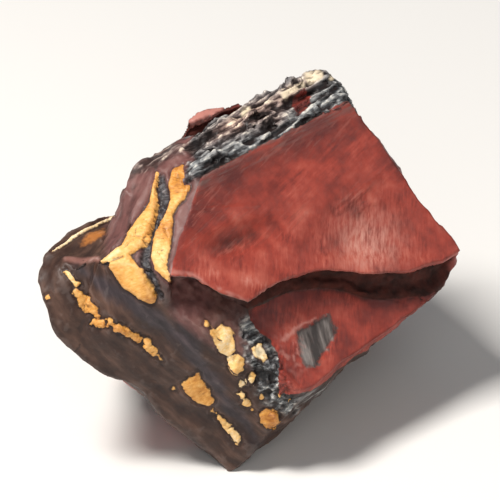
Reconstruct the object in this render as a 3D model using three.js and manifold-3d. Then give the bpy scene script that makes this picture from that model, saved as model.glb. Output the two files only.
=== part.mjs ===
// Rough tiger iron: one broken chunk of banded ironstone, about 51 mm across, resting on a flat break.
// A smooth red jasper face slopes down to the front right, and a lower ledge of the same jasper lies below a
// broken riser. The beds under the jasper are cut across by the toe side, at the front left, and by the
// shoulder side above it, and a crumbly edge runs along the crest. Units are millimetres, and +Z is up.
import * as THREE from "three";
import { ConvexGeometry } from "three/addons/geometries/ConvexGeometry.js";
import { ImprovedNoise } from "three/addons/math/ImprovedNoise.js";
import { mergeVertices } from "three/addons/utils/BufferGeometryUtils.js";
import Module from "manifold-3d";

const wasm = await Module();
wasm.setup();
const noise = new ImprovedNoise();
const { degToRad, lerp, smoothstep } = THREE.MathUtils;

// Corners are given in the show frame, which looks at the stone from the front and 30 degrees above the
// floor: x to the right, y up the view and z towards the eye, with the tip of the toe at x -2.1, y 0.
const SHOW_ELEVATION = degToRad(30);
const TIP = [-2.1, 0, -17.5];

// The jasper face is the plane through its left corner that falls away by these slopes to the right and
// upwards.
const JASPER_CORNER = [-9, 24];
const JASPER_FALL = [0.643, 0.374];
const LEDGE_DROP = 4.5; // depth of the lower ledge behind the jasper face
const RISER_LEAN = 0.13; // how much more of the riser shows, for each millimetre to the right
const RISER_START = -4.3; // where the riser begins to lean
const RISER_OVER = 3; // how far above the jasper face the step is cut free

// The beds lie square to this direction and are counted from the left corner of the jasper face, inwards.
const BED_NORMAL = new THREE.Vector3(0.579, 0.1555, 0.6957);
const BED_PITCH = 2.1; // how fast hard and soft beds follow each other, in radians to the millimetre
const TERRACE = 0.5; // how far a hard bed stands out beyond a soft one

const EDGE = 1.8; // longest triangle edge of the finished surface where it faces the front
const BACK_EDGE = 2.6; // and where it faces away
const SHORT = 0.3; // corners closer than this are drawn together
const FLAT = degToRad(2); // two triangles closer in tilt than this count as one flat face
const SWELL = [0.75, 15]; // height and size of the slow swells
const LUMP = [0.5, 4.6]; // height and size of the lumps of a rough break
const SMOOTH = 0.25; // share of the swells that a smooth jasper face keeps
const CALM = 0.55; // share of the lumps that the sides below the crest keep
const CREST_START = 1.2; // how far above the top edge of the jasper face the crest is at its full roughness
const NEAR_FACE = 1.0; // distance from a jasper face within which a point counts as part of it
const CRUMB_WOBBLE = 0.45; // how uneven a crumb is, as a share of its size

const FLOOR_SINK = 2.5; // how far the foot reaches below the floor before it is cut off flat
const floorHeight = TIP[1] * Math.cos(SHOW_ELEVATION) + TIP[2] * Math.sin(SHOW_ELEVATION);

// ---------------------------------------------------------------- surfaces of the show frame

const jasper = (x, y) =>
  -JASPER_FALL[0] * (x - JASPER_CORNER[0]) - JASPER_FALL[1] * (y - JASPER_CORNER[1]);
const ledge = (x, y) => jasper(x, y) - LEDGE_DROP;
// The depth at which a point of the view lies just under the floor.
const underFloor = (x, y) =>
  (floorHeight - FLOOR_SINK - y * Math.cos(SHOW_ELEVATION)) / Math.sin(SHOW_ELEVATION);
const on = (surface, ...points) => points.map(([x, y]) => [x, y, surface(x, y)]);

const bed = (p) =>
  BED_NORMAL.x * (p.x - JASPER_CORNER[0]) + BED_NORMAL.y * (p.y - JASPER_CORNER[1]) + BED_NORMAL.z * p.z;

// ---------------------------------------------------------------- solids and meshes

function solidOf(geometry) {
  const plain = geometry.clone();
  for (const name of Object.keys(plain.attributes)) if (name !== "position") plain.deleteAttribute(name);
  const merged = mergeVertices(plain, 1e-4);
  return new wasm.Manifold(
    new wasm.Mesh({
      numProp: 3,
      vertProperties: new Float32Array(merged.attributes.position.array),
      triVerts: new Uint32Array(merged.index.array),
    }),
  );
}

function meshParts(solid) {
  const made = solid.getMesh();
  const points = [];
  for (let i = 0; i < made.numVert; i++)
    points.push(new THREE.Vector3(...made.vertProperties.subarray(i * made.numProp, i * made.numProp + 3)));
  const faces = [];
  for (let i = 0; i < made.numTri; i++) faces.push([...made.triVerts.subarray(3 * i, 3 * i + 3)]);
  return { points, faces };
}

function geometryOf({ points, faces }) {
  const geometry = new THREE.BufferGeometry().setFromPoints(points);
  geometry.setIndex(faces.flat());
  return geometry;
}

const hull = (...points) => solidOf(new ConvexGeometry(points.map((p) => new THREE.Vector3(...p))));

// ---------------------------------------------------------------- the broken lump

const jasperFace = on(jasper, [-9, 24], [-5.4, 35.4], [12.6, 45], [26.1, 26.7], [9.3, 12.6]);
const ledgeRim = on(ledge, [6.2, 10.2], [8.6, 11.5], [14.9, 16.2], [20.9, 20.2], [24.4, 23.4]);
const crest = [
  [-5.7, 38.9, -12.3],
  [-3.2, 39.5, -15.3],
  [1.8, 43.4, -20.7],
  [4.8, 48.5, -23.4],
  [8.4, 48.9, -25.8],
  [10.7, 47.6, -25.8],
];
const shoulder = [
  [-8.1, 38.7, -11.3],
  [-11.6, 38.3, -11.6],
  [-13.2, 36.9, -11.2],
  [-14.2, 31.4, -7.5],
  [-17.6, 25.8, -3.4],
];
const toeEdge = [
  [-20.4, 15, -8.7],
  [-13.5, 11.1, -10.8],
  [-6.9, 5.1, -14.4],
  TIP,
  [-0.6, 0.9, -16.8],
  [3.6, 5.4, -13.5],
  [5.7, 8.1, -11.6],
];
const foot = on(
  underFloor,
  [-2.1, 0.4],
  [0.5, 3.8],
  [-12.2, 12.2],
  [9.2, 13.8],
  [14.6, 18.6],
  [-1.5, 18.6],
  [-13.5, 15.6],
);
const back = [
  [22.2, 24, -42],
  [9.9, 42.6, -40.5],
  [-11.4, 34.5, -33],
  [-21, 20.4, -22.5],
];
const block = hull(...jasperFace, ...ledgeRim, ...crest, ...shoulder, ...toeEdge, ...foot, ...back);

// A low shelf sticks out at the left, below the shoulder.
const shelf = hull(
  [-23.1, 27.3, -10],
  [-15.9, 31.2, -15.6],
  [-18.9, 26.1, -5],
  [-24.9, 24, -7],
  [-24.3, 20.4, -5.4],
  [-22.8, 17.4, -7.2],
  [-20.4, 15, -8.7],
  [-17.1, 12.6, -10.1],
  [-12, 24, -6],
  [-21, 20.4, -22.5],
  [-15, 30, -24],
);

// A thin flake of jasper stands up behind the crest.
const spur = hull(
  [-8.2, 39.3, -20],
  [-7.2, 42.1, -20.8],
  [-7.4, 42.7, -22.8],
  [-5.3, 43.6, -24],
  [-3.4, 43.6, -22.4],
  [-2.8, 44.7, -24.5],
  [-0.7, 44.7, -24.5],
  [-0.6, 40.5, -27],
  [-6, 37.5, -28.5],
  [-1.5, 37.5, -33],
);

const lump = wasm.Manifold.union([block, shelf]);
const target = new THREE.Mesh(geometryOf(meshParts(lump)), new THREE.MeshBasicMaterial());

// Where the lump ends, straight out from a point of it the way a side faces, and how it faces there.
function outermost(at, facing) {
  const from = at.clone().addScaledVector(facing, 200);
  const [hit] = new THREE.Raycaster(from, facing.clone().negate()).intersectObject(target);
  return { point: hit.point, normal: hit.face.normal };
}

// ---------------------------------------------------------------- crumbs of the broken beds

// Each is given by where it shows, its half sizes along, across and out of the surface, how many degrees its
// long side is turned in the view, and how deep its middle is sunk.
const crestCrumbs = [
  [8.3, 47.6, [1.9, 1.3, 1.5], 35, 0.7],
  [5.6, 45.6, [2.4, 0.9, 1.2], 35, 0.6],
  [10.6, 46.9, [0.9, 0.8, 0.9], 0, 0.4],
  [5.4, 47.0, [1.9, 0.9, 1.0], 40, 0.2],
  [9.4, 45.2, [2.4, 0.9, 1.1], 30, 0.5],
  [6.9, 43.2, [2.6, 1.0, 1.2], 35, 0.6],
  [4.2, 42.2, [2.0, 0.9, 1.2], 35, 0.6],
  [0.8, 42.6, [2.0, 0.9, 1.3], 30, 0.9],
  [2.1, 42.2, [2.0, 1.0, 1.3], 35, 0.7],
  [-0.4, 40.2, [2.8, 1.0, 1.3], 28, 0.8],
  [-2.7, 38.1, [2.8, 1.0, 1.2], 28, 0.8],
  [-3.4, 39.6, [1.9, 0.9, 1.2], 30, 0.9],
  [1.9, 40.6, [2.6, 0.8, 1.0], 30, 0.6],
];
const toeCrumbs = [
  [-2.7, 16.9, [1.9, 1.5, 1.4], -60, 0.7],
  [-1.2, 13.0, [1.5, 1.2, 1.3], -60, 0.6],
  [0.8, 11.3, [0.9, 0.9, 1.0], 0, 0.4],
  [-0.4, 9.0, [1.3, 0.9, 1.1], -50, 0.5],
  [3.0, 6.6, [1.6, 1.5, 1.5], -50, 0.7],
  [-5.9, 10.2, [2.3, 1.4, 1.3], -50, 0.8],
];

function crumb(x, y, sizes, turn, sink) {
  const geometry = new THREE.IcosahedronGeometry(1, 1);
  const points = geometry.attributes.position;
  const p = new THREE.Vector3();
  for (let i = 0; i < points.count; i++) {
    p.fromBufferAttribute(points, i);
    p.multiplyScalar(1 + CRUMB_WOBBLE * noise.noise(p.x * 1.3 + x, p.y * 1.3 + y, p.z * 1.3));
    points.setXYZ(i, p.x, p.y, p.z);
  }
  geometry.scale(...sizes);
  const { point, normal } = outermost(new THREE.Vector3(x, y, 0), new THREE.Vector3(0, 0, 1));
  const long = new THREE.Vector3(Math.cos(degToRad(turn)), Math.sin(degToRad(turn)), 0);
  const along = long.projectOnPlane(normal).normalize();
  const across = new THREE.Vector3().crossVectors(normal, along);
  const place = new THREE.Matrix4().makeBasis(along, across, normal);
  place.setPosition(point.addScaledVector(normal, -sink));
  geometry.applyMatrix4(place);
  return solidOf(geometry);
}
const crumbs = [...crestCrumbs, ...toeCrumbs].map((each) => crumb(...each));

// ---------------------------------------------------------------- the step down to the lower ledge

const riser = [
  [-9, 24],
  [-8.4, 23.5],
  [-6.3, 23.7],
  [-3, 21.9],
  [0.3, 20.5],
  [2.6, 21.8],
  [5.3, 23.3],
  [8.6, 24.2],
  [11.6, 24.3],
  [14.5, 23.6],
  [18.2, 23.8],
  [21, 24.5],
  [23, 25.7],
  [26.1, 26.7],
];

// Everything in front of the ledge and below the riser.
function stepCutter() {
  const outline = [...riser, [36, 30], [36, -8], [-9, -8]];
  const shape = new THREE.Shape(outline.map(([x, y]) => new THREE.Vector2(x, y)));
  const geometry = new THREE.ExtrudeGeometry(shape, { depth: 1, bevelEnabled: false });
  const points = geometry.attributes.position;
  for (let i = 0; i < points.count; i++) {
    const x = points.getX(i);
    const y = points.getY(i);
    const lean = Math.max(0, RISER_LEAN * (x - RISER_START));
    if (points.getZ(i) < 0.5) points.setXYZ(i, x, y - lean, ledge(x, y - lean));
    else points.setZ(i, jasper(x, y) + RISER_OVER);
  }
  return solidOf(geometry);
}

// ---------------------------------------------------------------- shell-shaped hollows

// A hollow of a given radius and depth, struck from the way its side faces.
function hollow(at, facing, radius, depth) {
  const geometry = new THREE.IcosahedronGeometry(radius, Math.round(radius / EDGE));
  const direction = new THREE.Vector3(...facing).normalize();
  const centre = outermost(new THREE.Vector3(...at), direction).point;
  centre.addScaledVector(direction, radius - depth);
  geometry.translate(centre.x, centre.y, centre.z);
  return solidOf(geometry);
}
const hollows = [
  hollow([-13.5, 11.6, -14], [-0.55, -0.8, 0.1], 9, 0.9), // the notch in the outline of the toe
  hollow([-20.2, 23, -10], [-0.1, 0.85, 0.5], 9, 0.9), // the top of the shelf
  hollow([-1, 43, -18.5], [-0.25, 0.94, 0.2], 14, 1.6), // the dip in the crest in front of the spur
  hollow([-6.3, 40.5, -16], [-0.3, 0.95, 0], 9, 1.3), // and where the crest meets the shoulder
  hollow([2.5, 38, -29], [-0.45, 0.88, -0.15], 25, 1.5), // behind the crest
  hollow([-4, 34, -28], [-0.35, 0.85, -0.35], 17, 1.4),
  hollow([6, 38, -34], [-0.1, 0.7, -0.7], 20, 1.8),
  hollow([-10, 28, -25], [-0.85, 0.45, -0.25], 18, 1.3), // behind the shoulder
  hollow([-10, 20, -26], [-0.75, 0.1, -0.6], 22, 1.6),
  hollow([4, 27, -30], [-0.1, 0.2, -1], 34, 1.8), // the back
  hollow([13, 22, -30], [0.3, -0.1, -1], 26, 1.6),
  hollow([12, 26, -36], [0.95, 0.2, -0.3], 26, 1.4), // the right side
  hollow([9, 34, -34], [0.7, 0.6, -0.3], 22, 1.5),
  hollow([9, 22, -30], [0.6, -0.8, -0.1], 26, 1.4), // under the ledge
  hollow([3, 14, -26], [0.7, -0.7, -0.2], 17, 1.2),
  hollow([-8, 18, -24], [-0.6, -0.8, -0.2], 18, 1.2), // under the toe
];
const cuts = wasm.Manifold.union([stepCutter(), ...hollows]);
const body = wasm.Manifold.union([lump, ...crumbs]).subtract(cuts).add(spur);

// ---------------------------------------------------------------- an even mesh

// The edges of a mesh, each with the faces on its two sides.
function edgesOf(faces) {
  const edges = new Map();
  faces.forEach((face, f) => {
    for (let k = 0; k < 3; k++) {
      const a = face[k];
      const b = face[(k + 1) % 3];
      const key = pairKey(a, b);
      if (!edges.has(key)) edges.set(key, { a, b, sides: [] });
      edges.get(key).sides.push(f);
    }
  });
  return [...edges.values()];
}

const pairKey = (a, b) => Math.min(a, b) + "," + Math.max(a, b);
const opposite = (face, a, b) => face.find((v) => v !== a && v !== b);

// A vector square to a face, as long as twice its area.
function faceVector(points, [a, b, c]) {
  const first = new THREE.Vector3().subVectors(points[b], points[a]);
  return first.cross(new THREE.Vector3().subVectors(points[c], points[a]));
}

// The angle of a triangle at its corner p.
function cornerAngle(p, q, r) {
  return new THREE.Vector3().subVectors(q, p).angleTo(new THREE.Vector3().subVectors(r, p));
}

// Turns the diagonal of a flat pair of faces where the other diagonal gives better shaped triangles.
function straighten({ points, faces }) {
  for (let pass = 0; pass < 4; pass++) {
    const edges = edgesOf(faces);
    const known = new Set(edges.map(({ a, b }) => pairKey(a, b)));
    const touched = new Set();
    for (const { a, b, sides } of edges) {
      const [f, g] = sides;
      if (touched.has(f) || touched.has(g)) continue;
      const c = opposite(faces[f], a, b);
      const d = opposite(faces[g], a, b);
      if (known.has(pairKey(c, d))) continue;
      const facing = faceVector(points, faces[f]);
      if (facing.angleTo(faceVector(points, faces[g])) > FLAT) continue;
      const [pa, pb] = [points[a], points[b]];
      if (cornerAngle(points[c], pa, pb) + cornerAngle(points[d], pa, pb) < Math.PI + 0.01) continue;
      const first = faces[f].map((v) => (v === b ? d : v));
      const second = faces[g].map((v) => (v === a ? c : v));
      if ([first, second].some((face) => faceVector(points, face).dot(facing) <= 1e-9)) continue;
      known.delete(pairKey(a, b));
      known.add(pairKey(c, d));
      faces[f] = first;
      faces[g] = second;
      touched.add(f).add(g);
    }
    if (!touched.size) break;
  }
}

// Draws together corners that lie closer than the limit. The lower of the two keeps its place.
function weld(mesh, limit) {
  const { points } = mesh;
  for (;;) {
    const edges = edgesOf(mesh.faces);
    const near = points.map(() => new Set());
    for (const { a, b } of edges) {
      near[a].add(b);
      near[b].add(a);
    }
    const moved = new Map();
    const touched = new Set();
    for (const { a, b } of edges) {
      if (points[a].distanceTo(points[b]) > limit) continue;
      const around = [...near[a], ...near[b]];
      if (around.some((v) => touched.has(v))) continue;
      if ([...near[a]].filter((v) => near[b].has(v)).length !== 2) continue;
      if (points[a].z < points[b].z) moved.set(b, a);
      else moved.set(a, b);
      for (const v of around) touched.add(v);
    }
    if (!moved.size) break;
    const renamed = mesh.faces.map((face) => face.map((v) => moved.get(v) ?? v));
    mesh.faces = renamed.filter(([a, b, c]) => a !== b && b !== c && c !== a);
  }
}

// Halves the longest edges until none is longer than the limit for its side of the stone.
function refine({ points, faces }) {
  const excess = ({ a, b, sides }) => {
    const away = sides.every((f) => faceVector(points, faces[f]).z < 0);
    return points[a].distanceTo(points[b]) / (away ? BACK_EDGE : EDGE);
  };
  for (;;) {
    const edges = edgesOf(faces);
    for (const edge of edges) edge.excess = excess(edge);
    const long = edges.filter((edge) => edge.excess > 1).sort((m, n) => n.excess - m.excess);
    if (!long.length) break;
    const touched = new Set();
    for (const { a, b, sides } of long) {
      if (sides.some((f) => touched.has(f))) continue;
      const middle = points.push(points[a].clone().lerp(points[b], 0.5)) - 1;
      for (const f of sides) {
        faces.push(faces[f].map((v) => (v === a ? middle : v)));
        faces[f] = faces[f].map((v) => (v === b ? middle : v));
        touched.add(f);
      }
    }
    straighten({ points, faces });
  }
}

const even = meshParts(body);
weld(even, SHORT);
straighten(even);
refine(even);
weld(even, SHORT);

// ---------------------------------------------------------------- the rough break

// Three octaves of noise whose slowest has the given size.
function fractal(p, size) {
  let sum = 0;
  for (let octave = 0; octave < 3; octave++) {
    const scale = 2 ** octave / size;
    sum += noise.noise(p.x * scale + 7.3, p.y * scale + 1.9, p.z * scale + 4.1) / 2 ** octave;
  }
  return sum;
}

// Share of a point that belongs to a smooth jasper face: the upper one or the lower ledge.
const jasperNormal = new THREE.Vector3(...JASPER_FALL, 1).normalize();
function smoothShare(p, normal) {
  const apart = Math.min(Math.abs(p.z - jasper(p.x, p.y)), Math.abs(p.z - ledge(p.x, p.y))) * jasperNormal.z;
  return apart > NEAR_FACE ? 0 : smoothstep(normal.dot(jasperNormal), 0.9, 0.99);
}

// The crest lies above the top edge of the jasper face, and is the roughest part.
const [, edgeLeft, edgeRight] = jasperFace;
const edgeRun = new THREE.Vector2(edgeRight[0] - edgeLeft[0], edgeRight[1] - edgeLeft[1]).normalize();
function crestShare(p) {
  const above = edgeRun.x * (p.y - edgeLeft[1]) - edgeRun.y * (p.x - edgeLeft[0]);
  return smoothstep(above, 0, CREST_START);
}

// Soft-edged dents of the jasper faces: where each shows, its half sizes along and across, how many degrees
// its long side is turned in the view, and its depth. A negative depth is a low ridge.
const dents = [
  [-0.6, 28.2, 3.6, 1.5, 32, 0.5],
  [-1.2, 31.3, 4.6, 1.3, 30, -0.3],
  [14.2, 28.8, 6.0, 4.4, 40, 0.8],
  [3.6, 37.0, 7.5, 2.6, 28, 0.45],
  [7.8, 18.6, 3.6, 2.4, 30, 0.4],
];
function dentDepth(p) {
  const middle = new THREE.Vector2();
  let depth = 0;
  for (const [x, y, along, across, turn, deep] of dents) {
    const away = new THREE.Vector2(p.x - x, p.y - y).rotateAround(middle, -degToRad(turn));
    depth += deep * Math.exp(-((away.x / along) ** 2) - (away.y / across) ** 2);
  }
  return depth;
}

// Hard beds stand out and soft ones are worn back, more so where a face cuts straight across them.
function terrace(p, normal) {
  const across = 1 - Math.abs(normal.dot(BED_NORMAL)) / BED_NORMAL.length();
  return TERRACE * across * Math.tanh(3 * Math.sin(bed(p) * BED_PITCH + fractal(p, 9)));
}

function roughen(geometry) {
  geometry.computeVertexNormals();
  const points = geometry.attributes.position;
  const p = new THREE.Vector3();
  const normal = new THREE.Vector3();
  for (let i = 0; i < points.count; i++) {
    p.fromBufferAttribute(points, i);
    normal.fromBufferAttribute(geometry.attributes.normal, i);
    const smooth = smoothShare(p, normal);
    const swell = SWELL[0] * fractal(p, SWELL[1]) * lerp(1, SMOOTH, smooth);
    const broken = (1 - smooth) * lerp(CALM, 1, crestShare(p));
    const height = broken * (LUMP[0] * fractal(p, LUMP[1]) + terrace(p, normal));
    p.addScaledVector(normal, swell + height - smooth * dentDepth(p));
    points.setXYZ(i, p.x, p.y, p.z);
  }
}

// ---------------------------------------------------------------- the flat break it rests on

// The show frame is tipped back until the floor is level, and what reaches below the floor is cut off.
const uncut = geometryOf(even);
roughen(uncut);
uncut.rotateX(Math.PI / 2 - SHOW_ELEVATION);
const ground = new THREE.BoxGeometry(200, 200, 40);
ground.translate(0, 0, floorHeight - 20);
const pieces = solidOf(uncut).subtract(solidOf(ground)).decompose();
const stone = pieces.reduce((most, piece) => (piece.volume() > most.volume() ? piece : most));

// The middle of the stone's box stands over the origin.
const resting = meshParts(stone);
weld(resting, SHORT / 4);
const finished = geometryOf(resting);
finished.computeBoundingBox();
const middle = finished.boundingBox.getCenter(new THREE.Vector3());
finished.translate(-middle.x, -middle.y, -finished.boundingBox.min.z);

const mesh = new THREE.Mesh(
  finished,
  new THREE.MeshStandardMaterial({ color: 0x8a4038, roughness: 0.5 }),
);
mesh.name = "stone";
const group = new THREE.Group();
group.add(mesh);
export default group;
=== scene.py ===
# A broken chunk of tiger iron on a pale floor. Red jasper, golden fibrous beds and dark hematite beds are
# grown together in one stone. Everything is in metres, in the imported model's frame, and sizes that are
# easier to read in millimetres say so.
from math import cos, pi, radians, sin
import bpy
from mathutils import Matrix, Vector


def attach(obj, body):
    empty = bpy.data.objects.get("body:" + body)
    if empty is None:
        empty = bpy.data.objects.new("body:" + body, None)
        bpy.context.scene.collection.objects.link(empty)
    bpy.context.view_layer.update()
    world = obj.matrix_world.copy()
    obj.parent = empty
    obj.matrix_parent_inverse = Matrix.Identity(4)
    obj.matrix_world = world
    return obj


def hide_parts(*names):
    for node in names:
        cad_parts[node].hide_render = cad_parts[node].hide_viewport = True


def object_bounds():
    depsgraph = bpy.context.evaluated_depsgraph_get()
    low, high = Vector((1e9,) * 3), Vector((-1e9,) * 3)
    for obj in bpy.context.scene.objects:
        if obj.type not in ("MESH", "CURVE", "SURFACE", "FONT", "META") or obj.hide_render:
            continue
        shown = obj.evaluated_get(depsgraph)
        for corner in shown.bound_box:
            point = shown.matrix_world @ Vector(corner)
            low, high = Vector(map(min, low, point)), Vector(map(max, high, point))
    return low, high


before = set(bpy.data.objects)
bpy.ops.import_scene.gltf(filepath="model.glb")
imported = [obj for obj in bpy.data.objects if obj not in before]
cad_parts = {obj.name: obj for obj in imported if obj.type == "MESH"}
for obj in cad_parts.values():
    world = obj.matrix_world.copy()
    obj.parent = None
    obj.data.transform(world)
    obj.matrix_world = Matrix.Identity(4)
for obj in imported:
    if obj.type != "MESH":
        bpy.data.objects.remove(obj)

from types import SimpleNamespace

import bmesh
import bpy
import numpy as np
from mathutils import Matrix, Vector, noise

cad_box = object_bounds()

MM = 0.001

# ---------------------------------------------------------------- the show frame and the beds

# The stone is worked on in its show frame, in millimetres: x to the right, y up the view and z towards the
# eye, which looks from the front and 30 degrees above the floor.
SHOW_ELEVATION = radians(30)
SHOW_TURN = Matrix.Rotation(SHOW_ELEVATION - pi / 2, 3, "X")
SHOW_ORIGIN = Vector((0.549, 9.579, -34.092))

# The jasper face and the lower ledge are planes that fall away to the right and upwards.
JASPER_CORNER = Vector((-9, 24, 0))
JASPER_FALL = (0.643, 0.374)
JASPER_NORMAL = Vector((*JASPER_FALL, 1)).normalized()
JASPER_TURN = JASPER_NORMAL.rotation_difference(Vector((0, 0, 1))).to_matrix()
LEDGE_DROP = 4.5
TOP_EDGE_SLOPE = 0.524  # how fast the top edge of the jasper face climbs to the right
TOP_EDGE_START = (-6.3, 35.1)

# The beds lie square to this direction and are counted from the left corner of the jasper face, inwards.
BED_NORMAL = Vector((0.6307, 0.1694, 0.7578)).normalized()

# Golden beds, each from its deeper side to its upper side. Those that cross the toe and the shoulder are
# drawn one by one further down, and these take over where a side faces away.
GOLDEN_BEDS = [(-3.7, -2.1), (-6.1, -4.4), (-9.9, -9.2), (-16.0, -15.3), (-24.9, -24.2), (-31.6, -29.4)]
RED_BEDS = [(-1.9, 30), (-24.0, -18.4), (-37.5, -31.9)]


def smooth(value, low, high):
    """0 below low, 1 above high, with a soft change in between."""
    t = np.clip((value - low) / (high - low), 0, 1)
    return t * t * (3 - 2 * t)


def route(x, y, points):
    """How deep inside a strip of changing half width a place of the view lies, in mm; negative outside."""
    if len(points) == 1:
        points = points * 2
    best = np.full(len(x), -1e3)
    for (x0, y0, w0), (x1, y1, w1) in zip(points, points[1:]):
        run, rise = x1 - x0, y1 - y0
        t = np.clip(((x - x0) * run + (y - y0) * rise) / max(run * run + rise * rise, 1e-9), 0, 1)
        best = np.maximum(best, w0 + (w1 - w0) * t - np.hypot(x - x0 - run * t, y - y0 - rise * t))
    return best


def polygon(x, y, corners):
    """How deep inside a convex outline of the view a place lies, in mm. Corners run against the clock."""
    depth = np.full(len(x), 1e3)
    for (x0, y0), (x1, y1) in zip(corners, corners[1:] + corners[:1]):
        run, rise = x1 - x0, y1 - y0
        depth = np.minimum(depth, (run * (y - y0) - rise * (x - x0)) / np.hypot(run, rise))
    return depth


def spot(x, y, centre, across, up, turn=0):
    """1 in the middle of an oval of the view, fading to 0."""
    c, s = cos(radians(turn)), sin(radians(turn))
    a, b = x - centre[0], y - centre[1]
    return np.exp(-(((a * c + b * s) / across) ** 2) - ((b * c - a * s) / up) ** 2)


def spots(places, ovals):
    """Several ovals added up, each with its strength, middle, half width, half height and turn."""
    return sum(
        strength * spot(places.x, places.y, middle, across, up, turn)
        for strength, middle, across, up, turn in ovals
    )


# ---------------------------------------------------------------- forms drawn in the view, in mm

# A strip is a list of places along it, each with the strip's half width there: (x, y, half width).

# The golden strips of the shoulder, with the lens and the crease at their lower end.
SHOULDER_STRIP = [
    (-10.7, 36.3, 0.15), (-11.1, 34.0, 0.3), (-11.1, 32.6, 0.55), (-11.6, 31.2, 0.85), (-12.2, 30.0, 1.15),
    (-12.9, 28.6, 1.4), (-14.0, 27.3, 0.9),
]
LENS_STRIP = [(-15.0, 25.3, 1.5), (-13.8, 23.6, 1.6), (-12.3, 22.0, 1.15), (-11.4, 21.1, 0.7)]
CREASE_STRIP = [(-17.2, 25.5, 0.3), (-16.2, 26.1, 0.45), (-14.7, 26.9, 0.6)]
UPPER_STRIP = [
    (-7.6, 37.0, 0.25), (-7.9, 35.9, 1.1), (-8.0, 34.6, 1.3), (-8.2, 33.5, 1.0), (-8.7, 32.4, 0.6),
    (-9.2, 31.3, 0.45), (-9.5, 30.2, 0.85), (-9.9, 28.8, 1.1), (-10.1, 27.4, 1.15), (-10.3, 26.2, 1.05),
    (-10.2, 25.0, 0.75), (-9.5, 23.8, 0.4), (-9.1, 23.2, 0.2),
]
# Blocks of golden fibre in the toe, each by the corners of its outline against the clock.
BLOCKS = [
    [
        (-4.1, 17.3), (-4.0, 16.2), (-3.3, 14.7), (-2.0, 13.9), (-1.2, 14.6), (-1.25, 15.9), (-1.3, 17.1),
        (-2.7, 18.0),
    ],
    [(-2.2, 13.8), (-2.0, 12.4), (-1.0, 11.7), (-0.1, 12.4), (-0.2, 13.7), (-1.0, 14.3)],
    [(0.8, 15.0), (1.2, 14.1), (2.4, 13.6), (2.9, 13.9), (2.7, 14.7), (1.8, 15.6)],
    [(0.3, 11.3), (0.6, 10.8), (1.2, 10.9), (1.4, 11.6), (0.9, 12.0), (0.4, 11.8)],
    [(-1.1, 9.4), (-0.8, 8.9), (-0.2, 9.0), (0.0, 9.5), (-0.5, 9.9)],
    [(-0.5, 8.3), (0.0, 7.8), (0.6, 8.1), (0.5, 8.8), (-0.2, 9.0)],
    [(1.7, 7.2), (1.8, 6.1), (2.8, 5.2), (4.1, 5.8), (4.2, 6.8), (3.5, 7.6), (2.3, 7.7)],
    [(-7.9, 10.6), (-7.0, 9.5), (-5.9, 8.4), (-4.5, 7.9), (-3.7, 8.7), (-4.6, 10.2), (-5.7, 12.2)],
]
# Crumbs of golden fibre, each by its middle and its half width.
CRUMBS = [
    (-4.6, 18.0, 0.4), (-0.4, 10.7, 0.4), (0.8, 7.6, 0.25), (4.2, 9.3, 0.3), (5.3, 8.5, 0.25),
    (1.9, 9.0, 0.3), (-8.6, 10.1, 0.25), (-3.9, 7.4, 0.2), (-23.9, 21.2, 0.3),
]
# The broken golden bed along the toe, piece by piece.
TOE_VEIN = [
    [(-21.8, 24.4, 0.2), (-21.2, 24.0, 0.25), (-20.3, 22.8, 0.35)],
    [(-20.3, 21.7, 0.4), (-19.4, 20.7, 0.7), (-18.6, 19.8, 0.75), (-17.9, 18.9, 0.4)],
    [(-18.2, 18.0, 0.45), (-17.2, 18.0, 0.5)],
    [(-16.5, 18.1, 0.35), (-15.6, 17.6, 0.5), (-14.5, 17.2, 0.5), (-13.4, 16.4, 0.4), (-12.7, 16.0, 0.4)],
    [(-11.9, 15.6, 0.45), (-11.2, 14.9, 0.5), (-10.6, 14.0, 0.3), (-10.3, 13.4, 0.1)],
    [(-3.5, 7.0, 0.1), (-2.9, 6.3, 0.3), (-2.0, 5.2, 0.4), (-1.3, 4.3, 0.45), (-0.7, 3.6, 0.3)],
]
# The bluish grey bed of the toe, between its two rows of golden blocks.
BLUE_BED = [
    (-20.0, 24.6, 0.7), (-15.5, 21.8, 1.0), (-11.0, 18.8, 1.2), (-6.6, 15.4, 1.2), (-4.3, 11.4, 0.9),
    (-1.4, 7.4, 0.9), (1.2, 4.2, 0.6),
]
# The thin golden rim of the shelf.
SHELF_RIM = [
    (-23.3, 26.8, 0.1), (-20.9, 28.5, 0.12), (-19.4, 29.4, 0.15), (-17.8, 30.2, 0.15), (-16.0, 31.0, 0.1),
]

# The lip of the toe side, where the shelf begins, raised a little and painted with a highlight.
TOE_LIP = [(-21.6, 25.7, 0.15), (-19.8, 25.6, 0.2), (-17.8, 25.8, 0.15)]
# A thin dark crack between the golden lens and the strip above it.
LENS_CRACK = [(-16.9, 25.1, 0.05), (-15.9, 25.7, 0.1), (-14.7, 26.1, 0.05)]
# The dark, glassy gap between the two strips of the shoulder.
SHOULDER_GAP = [
    (-10.3, 35.6, 0.6), (-9.9, 33.2, 0.7), (-10.6, 30.6, 0.5), (-11.6, 28.4, 0.4), (-12.2, 25.8, 0.6),
    (-11.2, 23.2, 0.6), (-10.2, 21.2, 0.4),
]
# The crumbly, glittering beds between the golden blocks and the ledge.
GLITTER_ZONE = [(0.2, 18.0, 0.8), (1.9, 15.5, 1.6), (2.8, 12.5, 2.0), (3.7, 9.6, 1.8), (5.2, 8.0, 0.9)]
# The grey green foot of the ledge.
LEDGE_FOOT = [(4.8, 8.6, 0.6), (7.8, 9.3, 0.5), (9.6, 10.2, 0.4), (11.6, 11.6, 0.1)]
# Where the red of the ledge ends on its left.
LEDGE_RED_EDGE = [
    (0.2, 25.0), (0.2, 19.5), (1.3, 17.6), (3.3, 15.6), (4.6, 13.3), (5.8, 11.0), (7.0, 9.6), (7.4, 7.0),
]
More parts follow.
